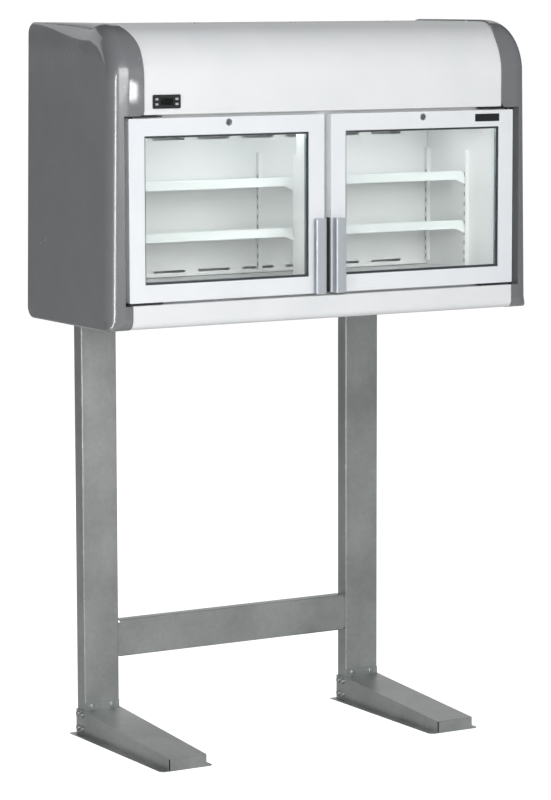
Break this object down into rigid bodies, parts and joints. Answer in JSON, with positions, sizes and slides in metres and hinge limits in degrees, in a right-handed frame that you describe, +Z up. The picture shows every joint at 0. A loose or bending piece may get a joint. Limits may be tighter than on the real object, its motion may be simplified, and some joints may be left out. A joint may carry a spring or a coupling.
{
  "type": "display freezer",
  "caption": "Topper display freezer: insulated cabinet with hinged glass doors and a curved front cover, hung on a folded steel floor stand with long forward feet.",
  "frame": {"origin": "on the floor, under the middle of the overall width and depth", "axes": "+Z up, +X to the right as seen from the front, the doors face -Y"},
  "size_m": [1.2078, 0.529, 1.815],
  "materials": {
    "galvanised_steel": "spangled zinc coat, dull",
    "zinc_plated_steel": "bright zinc, satin",
    "white_coated_steel": "smooth gloss coat",
    "white_frame": "smooth gloss",
    "grey_moulded_plastic": "polished gloss",
    "pale_cabin_plastic": "smooth satin",
    "foam": "rigid foam",
    "clear_glass": "clear",
    "grey_spacer": "satin",
    "dark_seal": "matt",
    "satin_aluminium": "satin anodised",
    "bright_chrome": "polished",
    "black_steel": "satin",
    "black_plastic": "satin",
    "dark_window": "polished",
    "pale_button": "satin",
    "black_enamel": "satin enamel",
    "fin_aluminium": "mill finish",
    "copper_pipe": "drawn",
    "white_lamp": "frosted",
    "white_wire_shelf": "smooth coat"
  },
  "bodies": {
    "cabinet": {"back_panel": "galvanised_steel", "bottom_front_trim": "white_coated_steel", "cabinet_case": "white_coated_steel", "compressor": "black_enamel", "compressor_grommets": "dark_seal", "condenser": "fin_aluminium", "condenser_fan_housing": "galvanised_steel", "controller_housing": "black_plastic", "controller_window": "dark_window", "crossbar": "galvanised_steel", "curved_front_cover": "white_coated_steel", "evaporator": "fin_aluminium", "evaporator_cover": "pale_cabin_plastic", "evaporator_fan_motor": "black_enamel", "front_frame": "pale_cabin_plastic", "hanger_brackets": "galvanised_steel", "hinge_plates": "black_steel", "inner_liner": "pale_cabin_plastic", "insulation": "foam", "interior_lamp": "white_lamp", "ledge_trim": "white_coated_steel", "left_foot": "galvanised_steel", "left_lower_shelf": "white_wire_shelf", "left_post": "galvanised_steel", "left_side_panel": "grey_moulded_plastic", "left_upper_shelf": "white_wire_shelf", "lock_strikes": "white_coated_steel", "mains_inlet": "black_plastic", "mullion": "pale_cabin_plastic", "refrigerant_pipes": "copper_pipe", "right_foot": "galvanised_steel", "right_lower_shelf": "white_wire_shelf", "right_post": "galvanised_steel", "right_side_panel": "grey_moulded_plastic", "right_upper_shelf": "white_wire_shelf", "shelf_clips": "pale_cabin_plastic", "shelf_pilasters": "pale_cabin_plastic", "small_screws": "zinc_plated_steel", "stand_bolts": "zinc_plated_steel"},
    "left_door": {"left_door_frame": "white_frame", "left_door_panes": "clear_glass", "left_pane_spacer": "grey_spacer", "left_door_gasket": "dark_seal", "left_door_handle": "satin_aluminium", "left_lock_body": "bright_chrome"},
    "right_door": {"right_door_frame": "white_frame", "right_door_panes": "clear_glass", "right_pane_spacer": "grey_spacer", "right_door_gasket": "dark_seal", "right_door_handle": "satin_aluminium", "right_lock_body": "bright_chrome", "badge_plate": "black_plastic"},
    "left_lock": {"left_lock_plug": "bright_chrome"},
    "right_lock": {"right_lock_plug": "bright_chrome"},
    "condenser_blower": {"condenser_fan": "black_plastic"},
    "evaporator_blower": {"evaporator_fan": "black_plastic"},
    "left_upper_key": {"left_upper_button": "pale_button"},
    "left_lower_key": {"left_lower_button": "pale_button"},
    "right_upper_key": {"right_upper_button": "pale_button"},
    "right_lower_key": {"right_lower_button": "pale_button"}
  },
  "joints": [
    {"name": "left_door_hinge", "type": "hinge", "parent": "cabinet", "child": "left_door", "pos_m": [-0.538, -0.2315, 1.372], "axis": [0, 0, -1], "range_deg": [0, 95]},
    {"name": "right_door_hinge", "type": "hinge", "parent": "cabinet", "child": "right_door", "pos_m": [0.538, -0.2315, 1.372], "axis": [0, 0, 1], "range_deg": [0, 95]},
    {"name": "left_lock_turn", "type": "hinge", "parent": "left_door", "child": "left_lock", "pos_m": [-0.278, -0.2315, 1.5775], "axis": [0, 1, 0], "range_deg": [0, 90]},
    {"name": "right_lock_turn", "type": "hinge", "parent": "right_door", "child": "right_lock", "pos_m": [0.278, -0.2315, 1.5775], "axis": [0, -1, 0], "range_deg": [0, 90]},
    {"name": "condenser_fan_spin", "type": "hinge", "parent": "cabinet", "child": "condenser_blower", "pos_m": [-0.12, 0.006, 1.6825], "axis": [0, 1, 0], "continuous": true},
    {"name": "evaporator_fan_spin", "type": "hinge", "parent": "cabinet", "child": "evaporator_blower", "pos_m": [0, 0.1255, 1.47], "axis": [0, 1, 0], "continuous": true},
    {"name": "left_upper_button_press", "type": "slide", "parent": "cabinet", "child": "left_upper_key", "axis": [0, 1, 0], "range_m": [0, 0.0008], "stiffness_N_per_m": 300},
    {"name": "left_lower_button_press", "type": "slide", "parent": "cabinet", "child": "left_lower_key", "axis": [0, 1, 0], "range_m": [0, 0.0008], "stiffness_N_per_m": 300},
    {"name": "right_upper_button_press", "type": "slide", "parent": "cabinet", "child": "right_upper_key", "axis": [0, 1, 0], "range_m": [0, 0.0008], "stiffness_N_per_m": 300},
    {"name": "right_lower_button_press", "type": "slide", "parent": "cabinet", "child": "right_lower_key", "axis": [0, 1, 0], "range_m": [0, 0.0008], "stiffness_N_per_m": 300}
  ]
}
